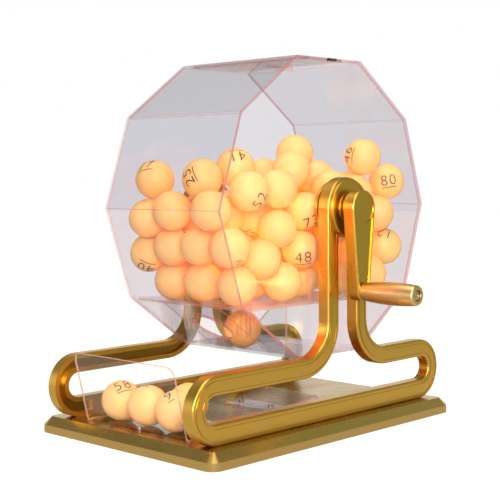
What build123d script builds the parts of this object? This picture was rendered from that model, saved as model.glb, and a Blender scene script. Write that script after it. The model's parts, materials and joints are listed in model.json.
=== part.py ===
from build123d import *
import math
import os

import numpy as np

# A table-top raffle drum: a clear ten-sided drum full of numbered balls turns on two stub axles
# between a pair of looped gold side frames. A crank on the right turns it. A drawn ball drops from
# the drum on to a folded clear tray that runs forward between the frames.
# X is the drum's axis with the crank at +X, the tray is at -Y, Z is up and z = 0 is the table.

# ---- drum ------------------------------------------------------------------------------------
DRUM_SIDES = 10
DRUM_R = 160.0  # centre to corner
DRUM_INSIDE = 162.0  # between the end caps: four balls abreast
ACRYLIC = 3.0  # sheet the drum is made of
DRUM_CLEAR = 77.8  # table to the drum's flat underside
FLOOR_DROP = 95.0  # axis down to the top of the ball floor
PORT_D = 46.0  # holes that let one ball through
FLOOR_PORT_Y = 78.0
COMB_WIDTH = 19.0
COMB_SLOT = 8.0
COMB_LENGTH = 34.0
COMB_Y = -64.0
COMB_RIGHT_X = 22.0
COMB_LEFT_X = -57.0
LANE_HALF = 40.0  # middle of the ball lane to each side wall
LANE_REAR_Y = -20.0
LANE_ROUND = 20.0
RIB_DEPTH = 3.0
RIB_THICK = 3.0
RIB_HEIGHT = 28.0
RIB_Y = -30.0

# ---- balls -----------------------------------------------------------------------------------
BALL_R = 20.0
BALL_SKIN = 0.4
BALL_GAP = 0.3  # between a ball and whatever it rests against
EXIT_BALL_X = -3.0
# Seats of the balls that lie against the clear walls, as (x, y, height above the ball floor).
NEAR_SEATS = [
    (58, -111, 20), (60, -51, 20), (58, 40, 20), (58, 98, 20),
    (60, -76, 47), (60, -16, 47), (55, 62, 47), (60, 125, 46),
    (58, -55, 76), (58, 30, 76), (60, 107, 88),
    (60, -12, 94), (60, -96, 116), (58, -52, 113), (56, 32, 117), (58, 79, 113), (60, 123, 118),
    (46, -18, 137), (60, 82, 145), (26, 10, 154), (30, -84, 139),
]
FRONT_SEATS = [
    (1, -111, 20), (-41, -111, 20),
    (56, -123, 55), (16, -125, 60), (-26, -123, 55), (-62, -121, 51),
    (46, -136, 94), (-10, -136, 94), (-50, -126, 80),
    (25, -125, 126), (-47, -129, 109), (-8, -95, 127),
]
NEAREST_SEAT = 36.0  # hidden balls start at least this far from the others
HEAP_LAYERS = 5
HEAP_LAYER_RISE = 34.0
HEAP_TOP = 115.0  # height of the hidden heap above the floor, under the axis
HEAP_SLOPE = 0.15  # the heap rises towards the back
HEAP_FRONT = 121.0
HEAP_REAR = 135.0

# ---- loading lid in the top facet ------------------------------------------------------------
LID_FRONT = 36.0
LID_REAR = 22.0
LID_GAP = 0.4
PIVOT_R = 0.8
PIVOT_INTO_LID = 6.0
FINGER_HOLE_R = 8.0
FINGER_HOLE_INSET = 16.0  # from the lid's free rear edge
REST_WIDTH = 14.0
REST_DEPTH = 13.0
REST_THICK = 4.0
REST_LAP = 6.0
CATCH_LENGTH = 12.0
CATCH_DEEP = 2.5
CATCH_Y = 4.0

# ---- side frames -----------------------------------------------------------------------------
FRAME_GAP = 10.0  # end cap to frame
FRAME_DEPTH = 13.0
FRONT_REACH = 219.0
REAR_REACH = 158.5
LOOP_H = 65.0
RAIL_LOW = 20.5
RAIL_HIGH = 19.0
POST_W = 17.0
BEND_R = 34.0
HUB_R = 31.0  # also the posts' outer edges
FRAME_ROUND = 2.2
GROOVE_INSET = 3.6
GROOVE_W = 1.1
GROOVE_DEEP = 0.8
CHANNEL_INSET = 5.0
CHANNEL_DEEP = 3.8
CHANNEL_BOSS = 14.0
FRAME_SCREW_Y = (-165.0, -31.0, 103.0)

# ---- bearings and axles ----------------------------------------------------------------------
AXLE_R = 6.0
RUN_FIT = 0.05  # radial clearance of a shaft in its hole
SEAT_FIT = 0.02  # radial clearance of a pressed piece in its hole
BUSH_R = 8.0
BUSH_FLANGE_R = 11.0
BUSH_FLANGE = 1.5
COVER_R = 29.0
COVER_THICK = 3.0
COVER_RIM = 2.6
COVER_SINK = 0.8
AXLE_FLANGE_R = 26.0
AXLE_FLANGE = 4.0
AXLE_SHOULDER_R = 9.0
AXLE_SCREW_RING = 19.0
END_PLAY = 0.3
RING_R = 9.0
RING_THICK = 1.0

# ---- crank -----------------------------------------------------------------------------------
CRANK_THROW = 84.0
COLLAR_R = 11.0
COLLAR_LENGTH = 8.0
ARM_THICK = 13.0
ARM_TOP_R = 18.0
ARM_LOW_R = 9.5
ARM_ROUND = 2.4
ARM_RIM = 3.2
ARM_SINK = 1.0
AXLE_INTO_ARM = 17.0
FLAT_DEPTH = 1.0
SET_SCREW_R = 2.0
GRIP_LENGTH = 65.0
GRIP_NECK_R = 9.0
GRIP_BELLY_R = 11.5
GRIP_END_R = 10.0
GRIP_BELLY_AT = 42.0
GRIP_ROUND = 2.5
GRIP_WELL_R = 5.8
GRIP_WELL = 5.0
BOLT_R = 3.0
BOLT_HEAD_R = 5.0
BOLT_HEAD = 3.0
BOLT_INTO_ARM = 12.0

# ---- base ------------------------------------------------------------------------------------
BASE_TOP = 17.0  # height of the base's top above the table
BASE_SIDE = 21.0  # frame's outer face to the base's side
BASE_SETBACK = 4.5  # frame loops reach past the base by this
BASE_CORNER = 12.0
BASE_BEVEL = 8.0
BASE_WALL = 3.0
RIM_W = 9.0  # solid rim round the hollow underside
PANEL_THICK = 2.0
PANEL_LEDGE = 4.0
PANEL_GAP = 0.3
BOSS_R = 4.5
FOOT_R = 9.0
FOOT_THICK = 1.8
FOOT_PROUD = 1.0
FOOT_INSET = 24.0

# ---- screws ----------------------------------------------------------------------------------
SCREW_R = 1.5
SCREW_HEAD_R = 3.0
SCREW_HEAD = 1.8
FRAME_SCREW_R = 2.0
FRAME_SCREW_HEAD_R = 3.8
FRAME_SCREW_HEAD = 2.4
FRAME_SCREW_LENGTH = 14.0
TRAY_SCREW_HEAD_R = 3.5
TRAY_SCREW_LENGTH = 9.0
PANEL_SCREW_LENGTH = 9.0
SLOT_W = 1.0
SLOT_DEEP = 0.9
HEAD_ROUND = 0.45  # part of a head's height that is rounded off

# ---- tray ------------------------------------------------------------------------------------
TRAY_WIDTH = 146.0
TRAY_SHEET = 2.0
TRAY_FOLD = 3.0  # outer bend radius
TRAY_FRONT = 195.0
TRAY_PANEL = 73.0  # length of the front panel up its slope
TRAY_LEAN = 13.5
TRAY_FLAT = 75.0
TRAY_REAR = 8.0
TRAY_RISE = 19.5  # rear edge of the ramp above the base
TRAY_FLANGE = 34.0
TRAY_PIN_R = 2.1
TRAY_PIN_HEAD = 0.9
TRAY_CORNER = 10.0
TRAY_SCREW_X = 22.0
TRAY_SCREW_Y = -25.0

# ---- sizes that follow -----------------------------------------------------------------------
HALF_TURN = math.pi / DRUM_SIDES
DRUM_FLAT_R = DRUM_R * math.cos(HALF_TURN)
INNER_FLAT_R = DRUM_FLAT_R - ACRYLIC
INNER_R = INNER_FLAT_R / math.cos(HALF_TURN)
AXIS_Z = DRUM_CLEAR + DRUM_FLAT_R
FLOOR_TOP = AXIS_Z - FLOOR_DROP
INSIDE_X = DRUM_INSIDE / 2
CAP_X = INSIDE_X + ACRYLIC
FRAME_IN = CAP_X + FRAME_GAP
FRAME_OUT = FRAME_IN + FRAME_DEPTH
COVER_OUT = FRAME_OUT + COVER_THICK
ARM_IN = FRAME_OUT + END_PLAY + COLLAR_LENGTH
ARM_OUT = ARM_IN + ARM_THICK
LOOP_TOP = BASE_TOP + LOOP_H
LOOP_MID_Y = (REAR_REACH - FRONT_REACH) / 2
LOOP_LENGTH = FRONT_REACH + REAR_REACH
HOLE_H = LOOP_H - RAIL_LOW - RAIL_HIGH
BASE_WIDTH = 2 * (FRAME_OUT + BASE_SIDE)
BASE_DEPTH = LOOP_LENGTH - 2 * BASE_SETBACK
GRIP_Z = AXIS_Z - CRANK_THROW
GRIP_IN = ARM_OUT + END_PLAY
LID_AXIS_Y = LID_GAP + ACRYLIC / 2 - LID_FRONT
LID_TOP = AXIS_Z + DRUM_FLAT_R
LID_AXIS_Z = LID_TOP - ACRYLIC / 2
HOLLOW_TOP = BASE_TOP - BASE_WALL
PANEL_TOP = FOOT_PROUD + PANEL_THICK
FRAME_SCREW_X = FRAME_IN + FRAME_DEPTH / 2


def across(x):
    """Plane square to the drum's axis at x, with Y to the right and Z up."""
    return Plane(origin=(x, 0, 0), x_dir=(0, 1, 0), z_dir=(1, 0, 0))


def on_axis(x):
    """The same plane with its origin on the drum's axis."""
    return across(x).shift_origin((x, 0, AXIS_Z))


def save(piece, name):
    """Labels a finished piece and writes its file."""
    piece.part.label = name
    export_step(piece.part, f"parts/{name}.step")


def save_mirrored(piece, name):
    """Writes the left-hand twin of a right-hand piece."""
    with BuildPart() as twin:
        add(mirror(piece.part, about=Plane.YZ))
    save(twin, name)


def pan_screw(plane, shank_r, length, head_r, head_h):
    """Slotted pan-head screw whose head stands on the plane and whose shank runs back from it."""
    with BuildPart() as screw:
        with BuildSketch(plane):
            Circle(shank_r)
        extrude(amount=-length)
        with BuildSketch(plane):
            Circle(head_r)
        extrude(amount=head_h)
        top = screw.faces().sort_by(Axis(plane.origin, plane.z_dir))[-1]
        fillet(top.edges(), HEAD_ROUND * head_h)
        with BuildSketch(plane.offset(head_h)):
            Rectangle(2 * head_r + 1, SLOT_W)
        extrude(amount=-SLOT_DEEP, mode=Mode.SUBTRACT)
    return screw.part


# ---- base ------------------------------------------------------------------------------------
def base_spots():
    """Places of the six screws that hold the bottom panel."""
    x = BASE_WIDTH / 2 - RIM_W - BOSS_R - 1
    y = BASE_DEPTH / 2 - RIM_W - BOSS_R - 1
    return [(i * x, LOOP_MID_Y + j * y) for i in (-1, 1) for j in (-1, 0, 1)]


def foot_spots():
    """Places of the rubber feet: one in each corner and one under the drum."""
    x = BASE_WIDTH / 2 - FOOT_INSET
    y = BASE_DEPTH / 2 - FOOT_INSET
    return [(i * x, LOOP_MID_Y + j * y) for i in (-1, 1) for j in (-1, 1)] + [(0, 0)]


def tray_screw_spots():
    """Places of the two screws in the tray's rear flange."""
    return [(-TRAY_SCREW_X, TRAY_SCREW_Y), (TRAY_SCREW_X, TRAY_SCREW_Y)]


def frame_screw_spots():
    """Places of the screws that come up through the base into the frames."""
    return [(i * FRAME_SCREW_X, y) for i in (-1, 1) for y in FRAME_SCREW_Y]


def make_base_plate():
    """Gold moulded base, bevelled above and hollow below, with screw bosses."""
    with BuildPart() as base_plate:
        with BuildSketch(Plane.XY.offset(FOOT_PROUD)):
            with Locations((0, LOOP_MID_Y)):
                RectangleRounded(BASE_WIDTH, BASE_DEPTH, BASE_CORNER)
        extrude(amount=BASE_TOP - FOOT_PROUD)
        chamfer(base_plate.faces().sort_by(Axis.Z)[-1].edges(), length=BASE_BEVEL)
        with BuildSketch(Plane.XY.offset(FOOT_PROUD)):
            with Locations((0, LOOP_MID_Y)):
                RectangleRounded(BASE_WIDTH - 2 * RIM_W, BASE_DEPTH - 2 * RIM_W, BASE_CORNER / 2)
        extrude(amount=HOLLOW_TOP - FOOT_PROUD, mode=Mode.SUBTRACT)
        with BuildSketch(Plane.XY.offset(FOOT_PROUD)):
            with Locations((0, LOOP_MID_Y)):
                ledge = RIM_W - PANEL_LEDGE
                RectangleRounded(BASE_WIDTH - 2 * ledge, BASE_DEPTH - 2 * ledge, BASE_CORNER / 2)
        extrude(amount=PANEL_THICK, mode=Mode.SUBTRACT)
        with BuildSketch(Plane.XY.offset(HOLLOW_TOP)):
            with Locations(*base_spots(), *tray_screw_spots()):
                Circle(BOSS_R)
        extrude(amount=PANEL_TOP - HOLLOW_TOP)
        with BuildSketch(Plane.XY.offset(PANEL_TOP)):
            with Locations(*base_spots()):
                Circle(SCREW_R + RUN_FIT)
        extrude(amount=PANEL_SCREW_LENGTH, mode=Mode.SUBTRACT)
        with BuildSketch(Plane.XY.offset(BASE_TOP)):
            with Locations(*tray_screw_spots(), tray_pin_spot()):
                Circle(SCREW_R + RUN_FIT)
        extrude(amount=-TRAY_SCREW_LENGTH, mode=Mode.SUBTRACT)
        with BuildSketch(Plane.XY.offset(BASE_TOP)):
            with Locations(*frame_screw_spots()):
                Circle(FRAME_SCREW_R + RUN_FIT)
        extrude(amount=-BASE_WALL, mode=Mode.SUBTRACT)
    save(base_plate, "base_plate")


def make_bottom_panel():
    """Thin panel that closes the hollow base, with shallow seats for the feet."""
    with BuildPart() as panel:
        with BuildSketch(Plane.XY.offset(FOOT_PROUD)):
            with Locations((0, LOOP_MID_Y)):
                inset = RIM_W - PANEL_LEDGE + PANEL_GAP
                RectangleRounded(BASE_WIDTH - 2 * inset, BASE_DEPTH - 2 * inset, BASE_CORNER / 2)
        extrude(amount=PANEL_THICK)
        with BuildSketch(Plane.XY.offset(FOOT_PROUD)):
            with Locations(*foot_spots()):
                Circle(FOOT_R + PANEL_GAP)
        extrude(amount=FOOT_THICK - FOOT_PROUD, mode=Mode.SUBTRACT)
        with BuildSketch(Plane.XY.offset(FOOT_PROUD)):
            with Locations(*base_spots()):
                Circle(SCREW_R + RUN_FIT)
        extrude(amount=PANEL_THICK, mode=Mode.SUBTRACT)
        with BuildSketch(Plane.XY.offset(FOOT_PROUD)):
            with Locations(*base_spots()):
                Circle(SCREW_HEAD_R + RUN_FIT)
        extrude(amount=PANEL_THICK / 2, mode=Mode.SUBTRACT)
    save(panel, "base_bottom_panel")


def make_panel_screws():
    """Six low screws, their heads sunk in the bottom panel."""
    with BuildPart() as panel_screws:
        with BuildSketch(Plane.XY.offset(FOOT_PROUD)):
            with Locations(*base_spots()):
                Circle(SCREW_HEAD_R)
        extrude(amount=PANEL_THICK / 2)
        with BuildSketch(Plane.XY.offset(FOOT_PROUD + PANEL_THICK / 2)):
            with Locations(*base_spots()):
                Circle(SCREW_R)
        extrude(amount=PANEL_SCREW_LENGTH)
    save(panel_screws, "panel_screws")


def make_rubber_feet():
    """Rubber discs that carry the whole thing."""
    with BuildPart() as rubber_feet:
        with BuildSketch():
            with Locations(*foot_spots()):
                Circle(FOOT_R)
        extrude(amount=FOOT_THICK)
        chamfer(rubber_feet.faces().group_by(Axis.Z)[0].edges(), length=FOOT_PROUD / 2)
    save(rubber_feet, "rubber_feet")


def make_frame_screws():
    """Screws from inside the base up into the frames' bottom rails."""
    down = Plane(origin=(0, 0, HOLLOW_TOP), x_dir=(1, 0, 0), z_dir=(0, 0, -1))
    with BuildPart() as frame_screws:
        for x, y in frame_screw_spots():
            add(pan_screw(down.shift_origin((x, y, HOLLOW_TOP)), FRAME_SCREW_R, FRAME_SCREW_LENGTH,
                          FRAME_SCREW_HEAD_R, FRAME_SCREW_HEAD))
    save(frame_screws, "frame_screws")


# ---- side frames -----------------------------------------------------------------------------
def frame_outline():
    """Closed loop of the frame: long foot, two bends, two posts and the hub."""
    end_r = LOOP_H / 2
    front = end_r - FRONT_REACH
    rear = REAR_REACH - end_r
    bend_y = HUB_R + BEND_R
    bend_z = LOOP_TOP + BEND_R
    with BuildSketch() as outline:
        with BuildLine():
            Line((front, BASE_TOP), (rear, BASE_TOP))
            CenterArc((rear, BASE_TOP + end_r), end_r, -90, 180)
            Line((rear, LOOP_TOP), (bend_y, LOOP_TOP))
            CenterArc((bend_y, bend_z), BEND_R, 180, 90)
            Line((HUB_R, bend_z), (HUB_R, AXIS_Z))
            CenterArc((0, AXIS_Z), HUB_R, 0, 180)
            Line((-HUB_R, AXIS_Z), (-HUB_R, bend_z))
            CenterArc((-bend_y, bend_z), BEND_R, 270, 90)
            Line((-bend_y, LOOP_TOP), (front, LOOP_TOP))
            CenterArc((front, BASE_TOP + end_r), end_r, 90, 180)
        make_face()
        with BuildLine():
            frame_hole()
        make_face(mode=Mode.SUBTRACT)
    return outline.sketch


def frame_hole():
    """Inner edge of the frame's loop, from the foot's two slots up between the posts."""
    end_r = HOLE_H / 2
    front = POST_W - FRONT_REACH + end_r
    rear = REAR_REACH - POST_W - end_r
    low = BASE_TOP + RAIL_LOW
    high = low + HOLE_H
    side = HUB_R - POST_W
    bend_r = BEND_R + POST_W
    top = AXIS_Z - math.sqrt(HUB_R**2 - side**2)
    Line((front, low), (rear, low))
    CenterArc((rear, low + end_r), end_r, -90, 180)
    Line((rear, high), (side + bend_r, high))
    CenterArc((side + bend_r, high + bend_r), bend_r, 180, 90)
    Line((side, high + bend_r), (side, top))
    ThreePointArc((side, top), (0, AXIS_Z - HUB_R), (-side, top))
    Line((-side, top), (-side, high + bend_r))
    CenterArc((-side - bend_r, high + bend_r), bend_r, 270, 90)
    Line((-side - bend_r, high), (front, high))
    CenterArc((front, low + end_r), end_r, 90, 180)


def make_frames():
    """Pair of frames, raised and grooved outside, channelled inside."""
    outline = frame_outline()
    with BuildPart() as frame_right:
        with BuildSketch(across(FRAME_IN)):
            add(outline)
        extrude(amount=FRAME_DEPTH)
        fillet(frame_right.faces().sort_by(Axis.X)[-1].edges(), FRAME_ROUND)
        with BuildSketch(across(FRAME_OUT)):
            offset(outline, amount=-GROOVE_INSET)
            offset(outline, amount=-GROOVE_INSET - GROOVE_W, mode=Mode.SUBTRACT)
        extrude(amount=-GROOVE_DEEP, mode=Mode.SUBTRACT)
        with BuildSketch(across(FRAME_IN)):
            offset(outline, amount=-CHANNEL_INSET)
            with Locations(*[(y, BASE_TOP + RAIL_LOW / 2) for y in FRAME_SCREW_Y]):
                Rectangle(CHANNEL_BOSS, RAIL_LOW, mode=Mode.SUBTRACT)
            with Locations((0, AXIS_Z)):
                Circle(BUSH_R + CHANNEL_INSET, mode=Mode.SUBTRACT)
        extrude(amount=CHANNEL_DEEP, mode=Mode.SUBTRACT)
        with BuildSketch(on_axis(FRAME_IN)):
            Circle(BUSH_R + SEAT_FIT)
        extrude(amount=FRAME_DEPTH, mode=Mode.SUBTRACT)
        with BuildSketch(Plane.XY.offset(BASE_TOP)):
            with Locations(*[(FRAME_SCREW_X, y) for y in FRAME_SCREW_Y]):
                Circle(FRAME_SCREW_R + RUN_FIT)
        extrude(amount=FRAME_SCREW_LENGTH - BASE_WALL + 1, mode=Mode.SUBTRACT)
    save(frame_right, "frame_right")
    save_mirrored(frame_right, "frame_left")


def make_bushes():
    """Flanged plain bushes that the stub axles run in."""
    with BuildPart() as bush_right:
        with BuildSketch(on_axis(FRAME_IN)):
            Circle(BUSH_R)
        extrude(amount=FRAME_DEPTH)
        with BuildSketch(on_axis(FRAME_IN)):
            Circle(BUSH_FLANGE_R)
        extrude(amount=-BUSH_FLANGE)
        with BuildSketch(on_axis(FRAME_IN - BUSH_FLANGE)):
            Circle(AXLE_R + RUN_FIT)
        extrude(amount=FRAME_DEPTH + BUSH_FLANGE, mode=Mode.SUBTRACT)
    save(bush_right, "bush_right")
    save_mirrored(bush_right, "bush_left")


def make_bearing_covers():
    """Round covers on the hubs: open for the crank's collar on the right, closed on the left."""
    for name, side in (("bearing_cover_right", 1), ("bearing_cover_left", -1)):
        with BuildPart() as cover:
            with BuildSketch(on_axis(side * FRAME_OUT)):
                Circle(COVER_R)
            extrude(amount=side * COVER_THICK)
            face = cover.faces().filter_by(Axis.X).sort_by(Axis.X)[-1 if side > 0 else 0]
            fillet(face.edges(), COVER_RIM / 3)
            with BuildSketch(on_axis(side * COVER_OUT)):
                Circle(COVER_R - COVER_RIM)
                Circle(COLLAR_R + 2 * COVER_RIM, mode=Mode.SUBTRACT)
            extrude(amount=-side * COVER_SINK, mode=Mode.SUBTRACT)
            if side > 0:
                with BuildSketch(on_axis(FRAME_OUT)):
                    Circle(COLLAR_R + END_PLAY)
                extrude(amount=COVER_THICK, mode=Mode.SUBTRACT)
            else:
                with BuildSketch(on_axis(-FRAME_OUT)):
                    Circle(RING_R + END_PLAY)
                extrude(amount=-COVER_THICK + COVER_SINK + END_PLAY, mode=Mode.SUBTRACT)
        save(cover, name)


# ---- tray ------------------------------------------------------------------------------------
def tray_path():
    """Corners of the folded sheet's outer face, as (y, z), from the panel's top edge back."""
    lean = math.radians(TRAY_LEAN)
    leg = -TRAY_REAR - TRAY_SHEET
    return [
        (-TRAY_FRONT - TRAY_PANEL * math.sin(lean), BASE_TOP + TRAY_PANEL * math.cos(lean)),
        (-TRAY_FRONT, BASE_TOP),
        (-TRAY_FRONT + TRAY_FLAT, BASE_TOP),
        (leg, BASE_TOP + TRAY_RISE - TRAY_SHEET),
        (leg, BASE_TOP + TRAY_SHEET),
        (leg - TRAY_FLANGE, BASE_TOP + TRAY_SHEET),
    ]


def tray_pin_spot():
    """Place of the pin that holds the tray's floor down just behind the front fold."""
    return (0, -TRAY_FRONT + TRAY_FOLD + SCREW_HEAD_R)


def make_tray():
    """One clear sheet: leaning front panel, flat floor, ramp, rear leg and screwed flange."""
    with BuildPart() as tray:
        with BuildSketch(Plane.YZ.offset(-TRAY_WIDTH / 2)):
            with BuildLine():
                FilletPolyline(*tray_path(), radius=TRAY_FOLD)
                offset(amount=TRAY_SHEET, side=Side.LEFT)
            make_face()
        extrude(amount=TRAY_WIDTH)
        panel_top = tray.faces().sort_by(Axis.Z)[-1]
        fillet(panel_top.edges().filter_by(lambda e: e.length < 2 * TRAY_SHEET), TRAY_CORNER)
        with BuildSketch(Plane.XY.offset(BASE_TOP)):
            with Locations(*tray_screw_spots(), tray_pin_spot()):
                Circle(SCREW_R + RUN_FIT)
        extrude(amount=TRAY_SHEET, mode=Mode.SUBTRACT)
    save(tray, "tray")


def make_tray_screws():
    """Two screws through the tray's rear flange."""
    top = BASE_TOP + TRAY_SHEET
    with BuildPart() as tray_screws:
        for x, y in tray_screw_spots():
            seat = Plane(origin=(x, y, top))
            add(pan_screw(seat, SCREW_R, TRAY_SCREW_LENGTH, TRAY_SCREW_HEAD_R, SCREW_HEAD))
    save(tray_screws, "tray_screws")


def make_tray_pin():
    """Low pin behind the tray's front fold."""
    with BuildPart() as tray_pin:
        with BuildSketch(Plane.XY.offset(BASE_TOP + TRAY_SHEET)):
            with Locations(tray_pin_spot()):
                Circle(TRAY_PIN_R)
        extrude(amount=TRAY_PIN_HEAD)
        with BuildSketch(Plane.XY.offset(BASE_TOP + TRAY_SHEET)):
            with Locations(tray_pin_spot()):
                Circle(SCREW_R)
        extrude(amount=-TRAY_SCREW_LENGTH + TRAY_SHEET)
    save(tray_pin, "tray_pin")


# ---- drum ------------------------------------------------------------------------------------
def make_end_caps():
    """Ten-sided end plates, drilled for the axle and the lid's pivots, the right one notched."""
    for name, side in (("end_cap_right", 1), ("end_cap_left", -1)):
        with BuildPart() as cap:
            with BuildSketch(on_axis(side * INSIDE_X)):
                RegularPolygon(DRUM_R, DRUM_SIDES)
                Circle(AXLE_R + RUN_FIT, mode=Mode.SUBTRACT)
                with PolarLocations(AXLE_SCREW_RING, 4, start_angle=45):
                    Circle(SCREW_R + RUN_FIT, mode=Mode.SUBTRACT)
                with Locations((LID_AXIS_Y, LID_AXIS_Z - AXIS_Z)):
                    Circle(PIVOT_R + SEAT_FIT, mode=Mode.SUBTRACT)
                if side > 0:
                    with Locations((CATCH_Y, DRUM_FLAT_R)):
                        Rectangle(CATCH_LENGTH, 2 * CATCH_DEEP, mode=Mode.SUBTRACT)
            extrude(amount=side * ACRYLIC)
        save(cap, name)


def make_lid_catch():
    """Dark magnet bar set in the right cap's top edge, which holds the lid shut."""
    with BuildPart() as lid_catch:
        with BuildSketch(on_axis(INSIDE_X)):
            with Locations((CATCH_Y, DRUM_FLAT_R - CATCH_DEEP / 2)):
                Rectangle(CATCH_LENGTH, CATCH_DEEP)
        extrude(amount=ACRYLIC)
    save(lid_catch, "lid_catch")


def make_drum_band():
    """Ten facets between the caps, with the loading opening above and the exit port in front."""
    exit_angle = math.radians(-90) - 2 * HALF_TURN
    out = Vector(0, math.cos(exit_angle), math.sin(exit_angle))
    facet = Plane(origin=Vector(0, 0, AXIS_Z) + out * DRUM_FLAT_R, x_dir=(1, 0, 0), z_dir=out)
    with BuildPart() as drum_band:
        with BuildSketch(on_axis(-INSIDE_X)):
            RegularPolygon(DRUM_R, DRUM_SIDES)
            RegularPolygon(INNER_R, DRUM_SIDES, mode=Mode.SUBTRACT)
        extrude(amount=DRUM_INSIDE)
        with BuildSketch(Plane.XY.offset(LID_TOP)):
            with Locations((0, (LID_REAR - LID_FRONT) / 2)):
                Rectangle(DRUM_INSIDE, LID_FRONT + LID_REAR)
        extrude(amount=-ACRYLIC, mode=Mode.SUBTRACT)
        with BuildSketch(facet):
            Circle(PORT_D / 2)
        extrude(amount=-ACRYLIC, mode=Mode.SUBTRACT)
    save(drum_band, "drum_band")


def make_ball_floor():
    """Clear shelf between the two lower corners of the drum, with the port the drawn ball takes."""
    low = FLOOR_DROP + ACRYLIC
    half = (INNER_FLAT_R - low * math.sin(math.pi / 2 - 2 * HALF_TURN)) / math.sin(2 * HALF_TURN)
    with BuildPart() as ball_floor:
        with BuildSketch(Plane.XY.offset(FLOOR_TOP - ACRYLIC)):
            Rectangle(DRUM_INSIDE - BALL_GAP, 2 * (half - BALL_GAP / 2))
            with Locations((0, FLOOR_PORT_Y)):
                Circle(PORT_D / 2, mode=Mode.SUBTRACT)
        extrude(amount=ACRYLIC)
    save(ball_floor, "ball_floor")


def make_combs():
    """Two forked stops that hang under the ball floor in front of the drawn ball."""
    for name, x in (("stop_comb_right", COMB_RIGHT_X), ("stop_comb_left", COMB_LEFT_X)):
        with BuildPart() as comb:
            with BuildSketch(Plane.XZ.offset(-COMB_Y)) as fork:
                with Locations((x, FLOOR_TOP - ACRYLIC - COMB_LENGTH / 2)):
                    Rectangle(COMB_WIDTH, COMB_LENGTH)
                low = fork.vertices().group_by(Axis.Y)[0]
                fillet(low, (COMB_WIDTH - COMB_SLOT) / 4)
                with Locations((x, FLOOR_TOP - ACRYLIC - COMB_LENGTH + COMB_SLOT)):
                    slot = 2 * (COMB_LENGTH - 2 * COMB_SLOT)
                    SlotOverall(slot, COMB_SLOT, rotation=90, mode=Mode.SUBTRACT)
            extrude(amount=ACRYLIC)
        save(comb, name)


def make_lane_walls():
    """Side walls of the lane below the floor, the left one rounded off at its foot."""
    for name, side in (("lane_wall_right", 1), ("lane_wall_left", -1)):
        with BuildPart() as wall:
            with BuildSketch(on_axis(side * LANE_HALF - ACRYLIC / 2)) as profile:
                RegularPolygon(INNER_R - BALL_GAP, DRUM_SIDES)
                top = -FLOOR_DROP - ACRYLIC
                with Locations((LANE_REAR_Y - DRUM_R / 2, top - DRUM_R / 2)):
                    Rectangle(DRUM_R, DRUM_R, mode=Mode.INTERSECT)
                if side < 0:
                    foot = profile.vertices().group_by(Axis.Y)[0].sort_by(Axis.X)[0]
                    fillet(foot, LANE_ROUND)
            extrude(amount=ACRYLIC)
        save(wall, name)


def make_stir_rib():
    """Upright strip glued inside the right end cap that stirs the balls."""
    with BuildPart() as stir_rib:
        with BuildSketch(Plane.XY.offset(FLOOR_TOP)):
            with Locations((INSIDE_X - RIB_DEPTH / 2, RIB_Y)):
                Rectangle(RIB_DEPTH, RIB_THICK)
        extrude(amount=RIB_HEIGHT)
    save(stir_rib, "stir_rib")


def make_axles():
    """Flanged stub axles, the right one long and flatted for the crank."""
    for name, side in (("axle_right", 1), ("axle_left", -1)):
        into_crank = AXLE_INTO_ARM if side > 0 else RING_THICK
        reach = FRAME_OUT + END_PLAY + into_crank
        with BuildPart() as axle:
            with BuildSketch(on_axis(side * INSIDE_X)):
                Circle(AXLE_R)
            extrude(amount=side * (reach - INSIDE_X))
            with BuildSketch(on_axis(side * CAP_X)):
                Circle(AXLE_FLANGE_R)
            extrude(amount=side * AXLE_FLANGE)
            with BuildSketch(on_axis(side * CAP_X)):
                Circle(AXLE_SHOULDER_R)
            extrude(amount=side * (FRAME_GAP - BUSH_FLANGE - END_PLAY))
            with BuildSketch(on_axis(side * CAP_X)):
                with PolarLocations(AXLE_SCREW_RING, 4, start_angle=45):
                    Circle(SCREW_R + RUN_FIT)
            extrude(amount=side * AXLE_FLANGE, mode=Mode.SUBTRACT)
            if side > 0:
                with BuildSketch(on_axis(FRAME_OUT + END_PLAY)):
                    with Locations((0, AXLE_R)):
                        Rectangle(2 * AXLE_R, 2 * FLAT_DEPTH)
                extrude(amount=reach, mode=Mode.SUBTRACT)
        save(axle, name)


def make_axle_screws():
    """Four screws through each axle flange into the end cap."""
    with BuildPart() as axle_screws_right:
        for angle in range(45, 360, 90):
            y = AXLE_SCREW_RING * math.cos(math.radians(angle))
            z = AXIS_Z + AXLE_SCREW_RING * math.sin(math.radians(angle))
            seat = across(CAP_X + AXLE_FLANGE).shift_origin((CAP_X + AXLE_FLANGE, y, z))
            add(pan_screw(seat, SCREW_R, AXLE_FLANGE + ACRYLIC, SCREW_HEAD_R, SCREW_HEAD))
    save(axle_screws_right, "axle_screws_right")
    save_mirrored(axle_screws_right, "axle_screws_left")


def make_retaining_ring():
    """Ring that keeps the left axle in its bush, under the closed cover."""
    with BuildPart() as ring:
        with BuildSketch(on_axis(-FRAME_OUT - END_PLAY)):
            Circle(RING_R)
            Circle(AXLE_R + SEAT_FIT, mode=Mode.SUBTRACT)
            with Locations((0, -RING_R)):
                Rectangle(AXLE_R, 2 * (RING_R - AXLE_R), mode=Mode.SUBTRACT)
        extrude(amount=-RING_THICK)
    save(ring, "retaining_ring")


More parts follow.
